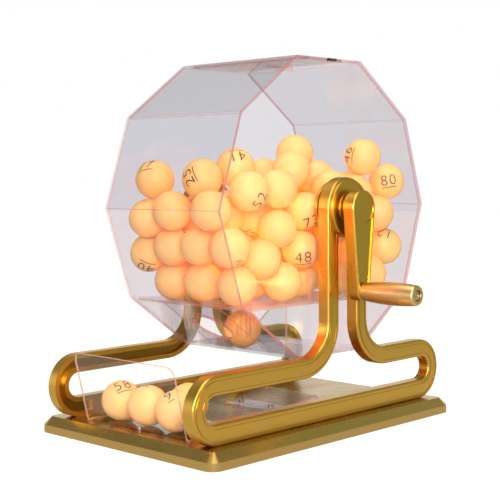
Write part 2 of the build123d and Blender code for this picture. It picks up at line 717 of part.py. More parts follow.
# ---- loading lid -----------------------------------------------------------------------------
def make_lid():
    """Flush clear lid between the caps, its front edge rounded about the pivots."""
    half = INSIDE_X - LID_GAP
    with BuildPart() as lid:
        with BuildSketch(across(-half)):
            with Locations(((LID_AXIS_Y + LID_REAR - LID_GAP) / 2, LID_AXIS_Z)):
                Rectangle(LID_REAR - LID_GAP - LID_AXIS_Y, ACRYLIC)
            with Locations((LID_AXIS_Y, LID_AXIS_Z)):
                Circle(ACRYLIC / 2)
        extrude(amount=2 * half)
        for side in (-1, 1):
            with BuildSketch(across(side * half)):
                with Locations((LID_AXIS_Y, LID_AXIS_Z)):
                    Circle(PIVOT_R + RUN_FIT)
            extrude(amount=-side * PIVOT_INTO_LID, mode=Mode.SUBTRACT)
        with BuildSketch(Plane.XY.offset(LID_TOP)):
            with Locations((0, LID_REAR - FINGER_HOLE_INSET)):
                Circle(FINGER_HOLE_R)
        extrude(amount=-ACRYLIC, mode=Mode.SUBTRACT)
    save(lid, "lid")


def make_lid_pivots():
    """Steel pins, one through each cap into the lid's front corner."""
    inner = INSIDE_X + LID_GAP / 2 - PIVOT_INTO_LID
    with BuildPart() as lid_pivots:
        for side in (-1, 1):
            with BuildSketch(across(side * inner)):
                with Locations((LID_AXIS_Y, LID_AXIS_Z)):
                    Circle(PIVOT_R)
            extrude(amount=side * (CAP_X - inner))
    save(lid_pivots, "lid_pivots")


def make_lid_rests():
    """Two clear blocks glued under the facet's edges that the closed lid lies on."""
    front_y = -LID_FRONT + REST_LAP - REST_DEPTH / 2
    rear_y = LID_REAR - REST_LAP + REST_DEPTH / 2
    with BuildPart() as lid_rests:
        with BuildSketch(Plane.XY.offset(LID_TOP - ACRYLIC - REST_THICK)):
            with Locations((0, front_y), (0, rear_y)):
                Rectangle(REST_WIDTH, REST_DEPTH)
        extrude(amount=REST_THICK)
    save(lid_rests, "lid_rests")


# ---- crank -----------------------------------------------------------------------------------
def make_crank_arm():
    """Tapering arm with a collar on the axle and a rimmed outer face."""
    with BuildPart() as crank_arm:
        with BuildSketch(on_axis(ARM_IN)):
            with BuildLine():
                make_arm_line(ARM_TOP_R, ARM_LOW_R)
            make_face()
        extrude(amount=ARM_THICK)
        fillet(crank_arm.faces().sort_by(Axis.X)[-1].edges(), ARM_ROUND)
        with BuildSketch(on_axis(ARM_OUT)):
            Circle(ARM_TOP_R - ARM_RIM)
        extrude(amount=-ARM_SINK, mode=Mode.SUBTRACT)
        with BuildSketch(on_axis(ARM_OUT)):
            with BuildLine():
                make_arm_line(ARM_TOP_R - ARM_RIM, ARM_LOW_R - ARM_RIM)
            make_face()
            Circle(ARM_TOP_R - ARM_RIM + ARM_SINK, mode=Mode.SUBTRACT)
        extrude(amount=-ARM_SINK, mode=Mode.SUBTRACT)
        with BuildSketch(on_axis(ARM_IN)):
            Circle(COLLAR_R)
        extrude(amount=-COLLAR_LENGTH)
        with BuildSketch(on_axis(ARM_IN - COLLAR_LENGTH)):
            Circle(AXLE_R + RUN_FIT)
            with Locations((0, AXLE_R + RUN_FIT)):
                Rectangle(2 * AXLE_R, 2 * FLAT_DEPTH - RUN_FIT, mode=Mode.SUBTRACT)
        extrude(amount=AXLE_INTO_ARM + END_PLAY, mode=Mode.SUBTRACT)
        with BuildSketch(across(ARM_IN)):
            with Locations((0, GRIP_Z)):
                Circle(BOLT_R + SEAT_FIT)
        extrude(amount=ARM_THICK, mode=Mode.SUBTRACT)
        with BuildSketch(Plane.XY.offset(AXIS_Z)):
            with Locations((ARM_IN - COLLAR_LENGTH / 2, 0)):
                Circle(SET_SCREW_R + SEAT_FIT)
        extrude(amount=COLLAR_R + 1, mode=Mode.SUBTRACT)
    save(crank_arm, "crank_arm")


def make_arm_line(top_r, low_r):
    """Outline round two circles, the upper on the axle and the lower on the grip."""
    lean = math.asin((top_r - low_r) / CRANK_THROW)
    side = (math.cos(lean), -math.sin(lean))
    top = (side[0] * top_r, side[1] * top_r)
    low = (side[0] * low_r, side[1] * low_r - CRANK_THROW)
    Line(top, low)
    ThreePointArc(low, (0, -CRANK_THROW - low_r), (-low[0], low[1]))
    Line((-low[0], low[1]), (-top[0], top[1]))
    ThreePointArc((-top[0], top[1]), (0, top_r), top)


def make_set_screw():
    """Grub screw in the crank's collar that bears on the axle's flat."""
    seat = AXLE_R - FLAT_DEPTH + RUN_FIT
    with BuildPart() as set_screw:
        with BuildSketch(Plane.XY.offset(AXIS_Z + seat)):
            with Locations((ARM_IN - COLLAR_LENGTH / 2, 0)):
                Circle(SET_SCREW_R)
        extrude(amount=COLLAR_R - seat - SET_SCREW_R / 2)
        with BuildSketch(Plane.XY.offset(AXIS_Z + COLLAR_R - SET_SCREW_R / 2)):
            with Locations((ARM_IN - COLLAR_LENGTH / 2, 0)):
                RegularPolygon(SET_SCREW_R / 2, 6)
        extrude(amount=-SET_SCREW_R, mode=Mode.SUBTRACT)
    save(set_screw, "crank_set_screw")


def make_grip():
    """Turned grip that spins on its bolt."""
    bore = BOLT_R + RUN_FIT
    end = GRIP_IN + GRIP_LENGTH
    with BuildPart() as grip:
        with BuildSketch(Plane.XZ) as profile:
            with BuildLine():
                Line((GRIP_IN, GRIP_Z + bore), (GRIP_IN, GRIP_Z + GRIP_NECK_R))
                Spline((GRIP_IN, GRIP_Z + GRIP_NECK_R),
                       (GRIP_IN + GRIP_BELLY_AT, GRIP_Z + GRIP_BELLY_R),
                       (end, GRIP_Z + GRIP_END_R))
                Polyline((end, GRIP_Z + GRIP_END_R), (end, GRIP_Z + GRIP_WELL_R),
                         (end - GRIP_WELL, GRIP_Z + GRIP_WELL_R), (end - GRIP_WELL, GRIP_Z + bore),
                         (GRIP_IN, GRIP_Z + bore))
            make_face()
            rim = profile.vertices().sort_by_distance((end, GRIP_Z + GRIP_END_R, 0))[0]
            fillet(rim, GRIP_ROUND)
        revolve(axis=Axis((0, 0, GRIP_Z), (1, 0, 0)))
    save(grip, "grip")


def make_grip_bolt():
    """Shoulder bolt through the grip into the arm's lower end."""
    end = GRIP_IN + GRIP_LENGTH
    head = across(end - GRIP_WELL + END_PLAY).shift_origin((end - GRIP_WELL + END_PLAY, 0, GRIP_Z))
    with BuildPart() as grip_bolt:
        length = head.origin.X - ARM_OUT + BOLT_INTO_ARM
        add(pan_screw(head, BOLT_R, length, BOLT_HEAD_R, BOLT_HEAD))
    save(grip_bolt, "grip_bolt")


# ---- balls -----------------------------------------------------------------------------------
def facet_normals():
    """Outward directions of the drum's facets, as rows of (x, y, z)."""
    turns = [HALF_TURN + 2 * HALF_TURN * k for k in range(DRUM_SIDES)]
    return np.array([(0.0, math.cos(a), math.sin(a)) for a in turns])


def heap_seats():
    """Rough places for every ball: the ones that show, then rows of hidden ones behind them."""
    seats = [(x, y, FLOOR_TOP + h) for x, y, h in NEAR_SEATS + FRONT_SEATS]
    pitch = 2 * BALL_R + BALL_GAP
    rows = int(DRUM_INSIDE // (2 * BALL_R))
    for layer in range(HEAP_LAYERS):
        height = BALL_R + layer * HEAP_LAYER_RISE
        for row in range(rows):
            x = (row - (rows - 1) / 2) * pitch
            y = -HEAP_FRONT + (layer % 2) * BALL_R
            while y < HEAP_REAR:
                seat = (x, y, FLOOR_TOP + height)
                clear = all(math.dist(seat, other) > NEAREST_SEAT for other in seats)
                if clear and height < HEAP_TOP + HEAP_SLOPE * y:
                    seats.append(seat)
                y += pitch
    return seats


def settle(seats, steps, sink, hold):
    """Lets balls sink and push each other apart until none overlaps a wall or a neighbour."""
    centres = np.array(seats, dtype=float)
    home = centres.copy()
    shown = len(NEAR_SEATS) + len(FRONT_SEATS)
    axis = np.array([0.0, 0.0, AXIS_Z])
    apart = 2 * BALL_R + BALL_GAP
    reach_x = INSIDE_X - BALL_R - BALL_GAP / 2
    port = np.array([0.0, FLOOR_PORT_Y])
    itself = np.eye(len(centres)) * 1e6
    for _ in range(steps):
        centres[:, 2] -= sink
        centres[:shown] += hold * (home[:shown] - centres[:shown])
        between = centres[:, None] - centres[None]
        distance = np.linalg.norm(between, axis=2) + itself
        push = np.clip(apart - distance, 0, None)
        centres += 0.28 * (between / distance[..., None] * push[..., None]).sum(axis=1)
        for normal in facet_normals():
            over = (centres - axis) @ normal - (INNER_FLAT_R - BALL_R - BALL_GAP / 2)
            centres -= np.clip(over, 0, None)[:, None] * normal
        centres[:, 0] = np.clip(centres[:, 0], -reach_x, reach_x)
        centres[:, 2] = np.maximum(centres[:, 2], FLOOR_TOP + BALL_R + BALL_GAP / 2)
        aside = centres[:, :2] - port
        far = np.linalg.norm(aside, axis=1)
        inside_port = np.clip(PORT_D / 2 - far, 0, None) * (centres[:, 2] < FLOOR_TOP + PORT_D / 2)
        centres[:, :2] += aside * (inside_port / far)[:, None]
    return centres


def ball_heap():
    """Centres of all the balls in the drum once they lie still."""
    centres = settle(heap_seats(), steps=300, sink=0.05, hold=0.3)
    centres = settle(centres, steps=60, sink=0.05, hold=0.0)
    return settle(centres, steps=1200, sink=0.0, hold=0.0)


def exit_ball_centre():
    """The drawn ball lies in the corner between the bottom facet and the one in front of it."""
    reach = INNER_FLAT_R - BALL_R - BALL_GAP / 2
    return (EXIT_BALL_X, -reach * math.tan(HALF_TURN), AXIS_Z - reach)


def tray_ball_centres():
    """Three balls against the leaning front panel and one in the hollow behind them."""
    pitch = 2 * BALL_R + BALL_GAP
    lean = math.radians(TRAY_LEAN)
    z = BASE_TOP + TRAY_SHEET + BALL_R + BALL_GAP / 2
    off_panel = TRAY_SHEET + BALL_R + BALL_GAP / 2
    y = -TRAY_FRONT + off_panel / math.cos(lean) - (z - BASE_TOP) * math.tan(lean)
    row = [(k * pitch, y, z) for k in (-1, 0, 1)]
    return row + [(pitch / 2, y + pitch * math.sqrt(3) / 2, z)]


def make_balls():
    """Hollow balls: the heap in one node, the drawn ones each on their own."""
    with BuildPart() as ball:
        Sphere(BALL_R)
        Sphere(BALL_R - BALL_SKIN, mode=Mode.SUBTRACT)
    with BuildPart() as raffle_balls:
        with Locations(*[tuple(float(v) for v in c) for c in ball_heap()]):
            add(ball.part, clean=False)
    save(raffle_balls, "raffle_balls")
    with BuildPart() as ball_in_exit:
        with Locations(exit_ball_centre()):
            add(ball.part)
    save(ball_in_exit, "ball_in_exit")
    for number, centre in enumerate(tray_ball_centres(), start=1):
        with BuildPart() as drawn_ball:
            with Locations(centre):
                add(ball.part)
        save(drawn_ball, f"drawn_ball_{number}")


os.makedirs("parts", exist_ok=True)
make_base_plate()
make_bottom_panel()
make_panel_screws()
make_rubber_feet()
make_frame_screws()
make_frames()
make_bushes()
make_bearing_covers()
make_tray()
make_tray_screws()
make_tray_pin()
make_end_caps()
make_lid_catch()
make_drum_band()
make_ball_floor()
make_combs()
make_lane_walls()
make_stir_rib()
make_axles()
make_axle_screws()
make_retaining_ring()
make_lid()
make_lid_pivots()
make_lid_rests()
make_crank_arm()
make_set_screw()
make_grip()
make_grip_bolt()
make_balls()
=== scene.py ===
import json
import math
import random

import bmesh
import bpy
from bpy.props import FloatProperty, FloatVectorProperty, IntProperty, PointerProperty
from mathutils import Matrix, Quaternion, Vector


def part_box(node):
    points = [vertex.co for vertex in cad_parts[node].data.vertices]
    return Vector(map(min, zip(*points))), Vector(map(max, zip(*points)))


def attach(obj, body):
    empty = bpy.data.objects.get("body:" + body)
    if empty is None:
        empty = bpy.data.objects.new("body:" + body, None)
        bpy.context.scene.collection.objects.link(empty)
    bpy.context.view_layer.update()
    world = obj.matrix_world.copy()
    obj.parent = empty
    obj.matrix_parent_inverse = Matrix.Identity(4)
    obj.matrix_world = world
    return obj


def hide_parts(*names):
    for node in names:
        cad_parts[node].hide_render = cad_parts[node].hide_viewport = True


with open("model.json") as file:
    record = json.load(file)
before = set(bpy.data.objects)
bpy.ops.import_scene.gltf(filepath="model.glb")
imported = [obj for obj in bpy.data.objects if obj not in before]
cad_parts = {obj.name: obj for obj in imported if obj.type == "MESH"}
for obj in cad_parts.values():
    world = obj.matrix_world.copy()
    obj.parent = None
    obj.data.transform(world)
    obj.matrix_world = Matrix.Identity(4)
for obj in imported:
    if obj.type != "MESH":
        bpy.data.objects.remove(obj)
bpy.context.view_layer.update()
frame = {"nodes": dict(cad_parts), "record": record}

bl_info = {
    "name": "Raffle drum with crank",
    "version": (1, 0, 0),
    "blender": (4, 5, 0),
    "location": "View3D > Sidebar > Raffle drum",
    "description": "Finishes, numbered balls and studio of a clear ten-sided raffle drum",
    "category": "Object",
}

MM = 0.001
DRUM_SIDES = 10
FACET_TURN = math.tau / DRUM_SIDES

# Nodes by the finish they get. A casting, a screw or a bush keeps its own mesh.
FRAME_NODES = ("frame_right", "frame_left")
GOLD_NODES = ("bearing_cover_right", "bearing_cover_left", "crank_arm", "axle_right", "axle_left")
GRIP_NODES = ("grip",)
BASE_NODES = ("base_plate",)
STEEL_NODES = (
    "panel_screws", "frame_screws", "tray_screws", "tray_pin", "axle_screws_right",
    "axle_screws_left", "retaining_ring", "lid_pivots", "crank_set_screw", "grip_bolt",
)
BRONZE_NODES = ("bush_right", "bush_left")
RUBBER_NODES = ("rubber_feet",)
DARK_NODES = ("base_bottom_panel", "lid_catch")

# Clear sheets and balls, which get a piece of their own. An upright sheet comes with the direction
# that its broad faces look in.
NEAR_CAP = "end_cap_right"
FAR_CAP = "end_cap_left"
LEVEL_NODES = ("ball_floor", "lid_rests")
UPRIGHT_NODES = (
    ("lane_wall_right", (1, 0, 0)), ("lane_wall_left", (1, 0, 0)),
    ("stop_comb_right", (0, 1, 0)), ("stop_comb_left", (0, 1, 0)), ("stir_rib", (0, 1, 0)),
)
BALL_NODES = (
    "raffle_balls", "ball_in_exit", "drawn_ball_1", "drawn_ball_2", "drawn_ball_3", "drawn_ball_4",
)

# Shapes
MERGE_WITHIN = 0.002 * MM  # corners of a mesh that are this close are one
SAME_WAY = 0.995  # cosine between directions that count as the same
CORNER_LINE = 0.32 * MM  # bevel on the corners between the facets, which shows as a line
TRAY_BEND = 3 * MM  # height of the tray's folded front corner
TRAY_RIM = 1.05 * MM  # the tray's front panel has its top edge within this of the top

# Gold: roughness of each lacquered piece, and the painted shade on the floors of the channels in the
# frames' inner sides
FRAME_POLISH = 0.3
GRIP_POLISH = 0.36
BASE_POLISH = 0.26
CHANNEL_FLOOR = 96 * MM  # from the middle of the part, just short of the channels' floors
CHANNEL_PAINTED_SHADE = 0.45  # painted shade: the channels' floors mirror only this share of light, standing for the shade in those recesses

# Acrylic
FACE_ON_GLOSS = 0.04  # share of light mirrored face-on, for a refractive index of 1.49
EDGE_GATHERS = 0.5  # share of an edge's light that comes to it from behind
EDGE_DIMS = 0.5  # how much of its own colour an edge gives to what is seen through it
EDGE_COVER = 0.45  # how far an edge hides what is behind it
# Inner and far edges: thinner cover, with a paler colour, as painted light for edges in the drum's
# shade
INNER_COVER = 0.4
FAR_COVER = 0.2
TRAY_COVER = 0.75

# Celluloid
SHELL_GLOW = 0.7  # share of a ball's light that has passed through its shell
GLOW_REACH = (16 * MM, 4 * MM, 1 * MM)  # how far red, green and blue light spread there

# Prints that the photograph shows: the number, where it lies in the 500 x 500 picture, and how far
# it is turned anticlockwise, in degrees.
PRINTS_SEEN = (
    (58, 122.5, 385.0, 18), (31, 146.0, 384.5, 10), (9, 168.0, 396.0, 55),
    (80, 388.5, 180.5, 9), (48, 303.5, 258.5, 6), (52, 261.0, 201.0, 74), (41, 237.5, 155.0, 188),
    (25, 188.0, 177.0, 118), (77, 145.5, 164.5, 20), (17, 251.0, 234.5, 215), (7, 236.5, 266.0, 190),
    (40, 145.5, 268.0, 150), (46, 347.5, 154.5, 80), (12, 384.5, 232.5, 165), (73, 312.0, 222.0, 30),
    (64, 312.5, 237.5, 150), (36, 180.0, 188.5, 30),
)
BESIDE = 1.6  # a print may miss its ball by this many radii
FIRST_NUMBER = 1
PRINT_SEED = 21
TURNED_AWAY = -0.1  # prints that the photograph hides look at least this far from the camera
HIDDEN_UPWARD = Vector((0.1, 0.2, 1))  # rough upward direction of those prints
DIGIT_SHARE = 0.73  # a digit's height as a share of the text's size
LETTER_SPACE = 1.12
LINE_SHARE = 1.05  # length of the line under a number, as a share of its width
PRINT_FACE = 1.6 * MM  # widest face of a print, so that it can follow the ball
PRINT_LIFT = 0.05 * MM

# Camera of the photograph
PICTURE = 500.0  # width and height of the picture, in pixels
FOCAL = 1164.0  # focal length in those pixels
SENSOR = 36.0
CAMERA_PLACE = Vector((0.8522, -0.9207, 0.2628))
CAMERA_AIM = Vector((-0.0312, 0.0, 0.1815))
CAMERA_ROLL = math.radians(-0.33)

# Studio, in metres. A lamp has its place and size, a card its place, aim, width and height.
KEY_LAMP = ((0.9, -0.5, 1.3), 0.9)
TOP_LAMP = ((-0.2, -0.1, 1.5), 0.8)
FRONT_LAMP = ((1.08, -1.02, 0.5), 0.5)
LAMPS_AIM = (0, 0, 0.2)
CARD = ((0.55, 0.5, 0.4), (0, 0, 0.4), 1.2, 0.8)
CEILING = ((0, 0, 1.7), (0, 0, 0), 7.0, 7.0)
GROUND = ((0, 0, 0.0005), (0, 0, 0), 6.0, 6.0)
GLOW_TONE = (1.0, 0.26, 0.03)  # linear, as light comes out of a shell
GLOW_PLACES = (
    (0.03, -0.095, 0.19), (0.03, -0.04, 0.19), (0.03, 0.03, 0.19), (0.03, 0.1, 0.19),
)  # along the heap
GLOW_UNDER = (0.06, -0.1, 0.1)  # beside the ball under the shelf
GLOW_SIZE = 0.02
FLOOR_REACH = 6
FLOOR_BOUNCE = 0.85  # what the floor sends back to the object
FLOOR_PAPER = 0.25  # what it sends to the camera, on top of its own glow
FLOOR_GLOW = 0.96
CLEAR_BOUNCES = 24  # enough for all the clear faces on one line of sight

all_balls = []  # centre, radius and body of each ball, from the balls' operator


# ---- sizes and colours a user would change ---------------------------------------------------
def linear(code):
    """Linear red, green and blue of an sRGB hex value."""
    parts = [int(code[i:i + 2], 16) / 255 for i in (1, 3, 5)]
    return [c / 12.92 if c <= 0.04045 else ((c + 0.055) / 1.055) ** 2.4 for c in parts]


def colour(name, description, code):
    """A colour property whose default is a hex value."""
    return FloatVectorProperty(
        name=name, description=description, default=linear(code), size=3, min=0, max=1,
        subtype="COLOR",
    )


class RaffleFinish(bpy.types.PropertyGroup):
    gold: colour("Gold casting", "Face-on reflection of the bright gold frames", "#D9AE50")
    grip_gold: colour("Gold grip", "Face-on reflection of the paler grip", "#E2C08A")
    base_gold: colour("Gold base", "Face-on reflection of the paler moulded base", "#C9A765")
    acrylic: colour("Acrylic", "What one surface of the end caps lets through", "#FAF9FB")
    inner: colour("Inner acrylic", "What one surface of the pieces inside lets through", "#FCFBFC")
    facets: colour("Facets", "What one surface of the ten facets lets through", "#F0F0F3")
    cut_edge: colour("Cut edge", "Sawn and flamed edges of the acrylic sheet", "#CBA3B2")
    # painted light: paler than the end caps' cut edge, to lift edges that sit in the drum's shade
    inner_edge: colour("Inner edge", "Flamed edges of the pieces inside the drum", "#F0DCDC")
    tray_edge: colour("Tray edge", "Flamed edges of the tray", "#E4C4B8")
    celluloid: colour("Ball", "Pale orange celluloid of the balls", "#FFD092")
    ink: colour("Ink", "Brown ink of the printed numbers", "#5E3416")
    steel: colour("Steel", "Bright steel of screws, pins and retaining ring", "#C4C6C8")
    bronze: colour("Bronze", "Sintered bronze of the bushes", "#B98A4E")
    rubber: colour("Rubber", "Black rubber of the feet", "#1B1B1C")
    dark_plastic: colour("Dark plastic", "Bottom panel and lid catch", "#38363A")


class RafflePrint(bpy.types.PropertyGroup):
    height: FloatProperty(
        name="Digit height", description="Height of a printed digit", default=12.6 * MM, min=4 * MM,
        max=20 * MM, subtype="DISTANCE", unit="LENGTH",
    )
    thinning: FloatProperty(
        name="Thinning", description="How much each side of a digit's stroke is drawn in",
        default=0.16 * MM, min=0, max=0.5 * MM, subtype="DISTANCE", unit="LENGTH",
    )
    line: FloatProperty(
        name="Line", description="Width of the line under a number", default=0.9 * MM, min=0.2 * MM,
        max=3 * MM, subtype="DISTANCE", unit="LENGTH",
    )
    line_gap: FloatProperty(
        name="Line gap", description="From a number down to its line", default=2.4 * MM, min=0,
        max=6 * MM, subtype="DISTANCE", unit="LENGTH",
    )
    rings: IntProperty(
        name="Rings", description="Rings of faces of a ball", default=24, min=8, max=64,
    )


class RaffleStudio(bpy.types.PropertyGroup):
    ambient: FloatProperty(
        name="Ambient", description="Strength of the soft white light from all round", default=0.65,
        min=0, max=2, subtype="FACTOR",
    )
    key: FloatProperty(
        name="Key lamp", description="Power of the large lamp above the camera's right",
        default=9, min=0, max=200, unit="POWER",
    )
    fill: FloatProperty(
        name="Top lamp", description="Power of the soft lamp overhead", default=8, min=0, max=200,
        unit="POWER",
    )
    front: FloatProperty(
        name="Front lamp", description="Power of the soft lamp beside the camera", default=18,
        min=0, max=200, unit="POWER",
    )
    glow: FloatProperty(
        name="Glow", description="Power of each small lamp for the light that balls pass on",
        default=0.1, min=0, max=1, unit="POWER",
    )
    card: colour("Card", "Grey-green card that the gold mirrors as its darker tones", "#A8AF8C")
    ground: colour("Ground", "Pale grey ground that the rails and the base mirror", "#DCD6CA")
    ceiling: colour("Ceiling", "Dim ceiling that the gold mirrors above it", "#8A8A78")
    air: colour("Air", "Colour of the soft light from all round", "#FFDDB0")
    warmth: colour("Warmth", "Colour of the lamps", "#FFF4E2")


# ---- materials -------------------------------------------------------------------------------
def add_node(tree, kind, values=None, links=None, **settings):
    """Adds a node with its settings, its sockets' values and what feeds them."""
    node = tree.nodes.new(kind)
    for name, value in settings.items():
        setattr(node, name, value)
    for socket, value in (values or {}).items():
        node.inputs[socket].default_value = value
    for socket, source in (links or {}).items():
        tree.links.new(source, node.inputs[socket])
    return node


def new_material(name):
    """An empty material with its output node, as (material, tree, output)."""
    material = bpy.data.materials.new(name)
    material.use_nodes = True
    tree = material.node_tree
    tree.nodes.clear()
    return material, tree, add_node(tree, "ShaderNodeOutputMaterial")


def opaque(rgb):
    """A node colour from a property's three values."""
    return (rgb[0], rgb[1], rgb[2], 1.0)


def grain(tree, size, detail=2.0, roughness=0.5):
    """Noise on object coordinates whose features are about size metres across."""
    place = add_node(tree, "ShaderNodeTexCoord")
    return add_node(
        tree, "ShaderNodeTexNoise",
        {"Scale": 1 / size, "Detail": detail, "Roughness": roughness},
        {"Vector": place.outputs["Object"]},
    )


def spread(tree, source, low, high):
    """Turns a 0 to 1 value into low to high."""
    return add_node(
        tree, "ShaderNodeMapRange", {"From Min": 0.3, "From Max": 0.7, "To Min": low, "To Max": high},
        {"Value": source},
    )


def shade(tree, source, rgb, darker):
    """Colour that varies between rgb and a slightly darker one."""
    return add_node(
        tree, "ShaderNodeMix",
        {"A": (rgb[0] * darker, rgb[1] * darker, rgb[2] * darker, 1.0), "B": opaque(rgb)},
        {"Factor": source}, data_type="RGBA",
    )


def channel_mask(tree):
    """1 on the floors of the channels in the frames' inner sides, where shade is painted, and 0
    elsewhere.
    """
    place = add_node(tree, "ShaderNodeTexCoord")
    turned = add_node(tree, "ShaderNodeNewGeometry")
    inside = add_node(
        tree, "ShaderNodeVectorMath", None,
        {0: place.outputs["Object"], 1: turned.outputs["Normal"]}, operation="MULTIPLY",
    )
    across = add_node(tree, "ShaderNodeSeparateXYZ", None, {"Vector": inside.outputs["Vector"]})
    return add_node(
        tree, "ShaderNodeMath", {1: -CHANNEL_FLOOR}, {0: across.outputs["X"]}, operation="LESS_THAN"
    )


def lacquered_gold(name, rgb, polish, painted_channel_shade=False):
    """Gold lacquer on a smooth casting: a bright warm mirror, softened by a faint orange peel, and with
    painted shade on the channels' floors when asked.
    """
    material, tree, output = new_material(name)
    peel = grain(tree, 4 * MM)
    cloud = grain(tree, 35 * MM, 3)
    rough = spread(tree, cloud.outputs["Fac"], polish * 0.85, polish * 1.2)
    tone = shade(tree, cloud.outputs["Fac"], rgb, 0.95)
    # painted shade: a darker gold on the channels' floors stands for the shade in these recesses
    if painted_channel_shade:
        painted_shade_tone = [c * CHANNEL_PAINTED_SHADE for c in rgb]
        tone = add_node(
            tree, "ShaderNodeMix", {"B": opaque(painted_shade_tone)},
            {"Factor": channel_mask(tree).outputs["Value"], "A": tone.outputs["Result"]},
            data_type="RGBA",
        )
    relief = add_node(
        tree, "ShaderNodeBump", {"Strength": 0.05, "Distance": 0.2 * MM},
        {"Height": peel.outputs["Fac"]},
    )
    surface = add_node(
        tree, "ShaderNodeBsdfPrincipled", {"Metallic": 1.0},
        {
            "Base Color": tone.outputs["Result"], "Roughness": rough.outputs["Result"],
            "Normal": relief.outputs["Normal"],
        },
    )
    tree.links.new(surface.outputs["BSDF"], output.inputs["Surface"])
    return material


def bright_steel(name, rgb):
    """Turned and zinc-plated steel: cool, fairly sharp, with fine tool marks."""
    material, tree, output = new_material(name)
    marks = grain(tree, 0.8 * MM, 3, 0.6)
    rough = spread(tree, marks.outputs["Fac"], 0.2, 0.34)
    tone = shade(tree, marks.outputs["Fac"], rgb, 0.88)
    surface = add_node(
        tree, "ShaderNodeBsdfPrincipled", {"Metallic": 1.0},
        {"Base Color": tone.outputs["Result"], "Roughness": rough.outputs["Result"]},
    )
    tree.links.new(surface.outputs["BSDF"], output.inputs["Surface"])
    return material


def sintered_bronze(name, rgb):
    """Oil-filled sintered bronze: brown, dull and finely pitted."""
    material, tree, output = new_material(name)
    pits = grain(tree, 0.7 * MM, 4, 0.7)
    tone = shade(tree, pits.outputs["Fac"], rgb, 0.7)
    relief = add_node(
        tree, "ShaderNodeBump", {"Strength": 0.3, "Distance": 0.1 * MM},
        {"Height": pits.outputs["Fac"]},
    )
    surface = add_node(
        tree, "ShaderNodeBsdfPrincipled", {"Metallic": 1.0, "Roughness": 0.48},
        {"Base Color": tone.outputs["Result"], "Normal": relief.outputs["Normal"]},
    )
    tree.links.new(surface.outputs["BSDF"], output.inputs["Surface"])
    return material


def moulded_rubber(name, rgb):
    """Moulded black rubber: matt, with a fine grain from the mould."""
    material, tree, output = new_material(name)
    pores = grain(tree, 1.2 * MM, 4, 0.6)
    tone = shade(tree, pores.outputs["Fac"], rgb, 0.75)
    relief = add_node(
        tree, "ShaderNodeBump", {"Strength": 0.25, "Distance": 0.15 * MM},
        {"Height": pores.outputs["Fac"]},
    )
    surface = add_node(
        tree, "ShaderNodeBsdfPrincipled", {"Roughness": 0.78, "IOR": 1.52},
        {"Base Color": tone.outputs["Result"], "Normal": relief.outputs["Normal"]},
    )
    tree.links.new(surface.outputs["BSDF"], output.inputs["Surface"])
    return material


def moulded_panel(name, rgb):
    """Spark-eroded black ABS: satin, with a pebbled texture about a millimetre across."""
    material, tree, output = new_material(name)
    place = add_node(tree, "ShaderNodeTexCoord")
    pebbles = add_node(
        tree, "ShaderNodeTexVoronoi", {"Scale": 1 / (1.1 * MM)}, {"Vector": place.outputs["Object"]}
    )
    rough = spread(tree, pebbles.outputs["Distance"], 0.42, 0.6)
    relief = add_node(
        tree, "ShaderNodeBump", {"Strength": 0.35, "Distance": 0.1 * MM},
        {"Height": pebbles.outputs["Distance"]},
    )
    surface = add_node(
        tree, "ShaderNodeBsdfPrincipled", {"Base Color": opaque(rgb), "IOR": 1.54},
        {"Roughness": rough.outputs["Result"], "Normal": relief.outputs["Normal"]},
    )
    tree.links.new(surface.outputs["BSDF"], output.inputs["Surface"])
    return material


def celluloid(name, rgb):
    """Pale orange celluloid: satin, a little light passing through, mottled where the shell thins."""
    material, tree, output = new_material(name)
    mottle = grain(tree, 14 * MM, 3)
    fine = grain(tree, 1.5 * MM, 2)
    tone = shade(tree, mottle.outputs["Fac"], rgb, 0.96)
    rough = spread(tree, fine.outputs["Fac"], 0.36, 0.46)
    relief = add_node(
        tree, "ShaderNodeBump", {"Strength": 0.03, "Distance": 0.1 * MM},
        {"Height": fine.outputs["Fac"]},
    )
    surface = add_node(
        tree, "ShaderNodeBsdfPrincipled",
        {
            "IOR": 1.5, "Specular IOR Level": 0.35, "Subsurface Weight": SHELL_GLOW,
            "Subsurface Radius": GLOW_REACH, "Subsurface Scale": 1.0,
        },
        {
            "Base Color": tone.outputs["Result"], "Roughness": rough.outputs["Result"],
            "Normal": relief.outputs["Normal"],
        },
    )
    tree.links.new(surface.outputs["BSDF"], output.inputs["Surface"])
    return material


def printed_ink(name, rgb):
    """Stamped brown ink: flat, a little thinner in places."""
    material, tree, output = new_material(name)
    wear = grain(tree, 1.1 * MM, 4, 0.7)
    tone = shade(tree, wear.outputs["Fac"], [min(1.0, c * 1.35) for c in rgb], 0.72)
    surface = add_node(
        tree, "ShaderNodeBsdfPrincipled", {"Roughness": 0.5}, {"Base Color": tone.outputs["Result"]}
    )
    tree.links.new(surface.outputs["BSDF"], output.inputs["Surface"])
    return material


def edge_on_gloss(tree):
    """Share of light that a polished acrylic face mirrors, the same from inside as from outside."""
    tilt = add_node(tree, "ShaderNodeLayerWeight", {"Blend": 0.5})
    steep = add_node(
        tree, "ShaderNodeMath", {1: 5.0}, {0: tilt.outputs["Facing"]}, operation="POWER"
    )
    return add_node(
        tree, "ShaderNodeMath", {1: 1 - FACE_ON_GLOSS, 2: FACE_ON_GLOSS}, {0: steep.outputs["Value"]},
        operation="MULTIPLY_ADD",
    )


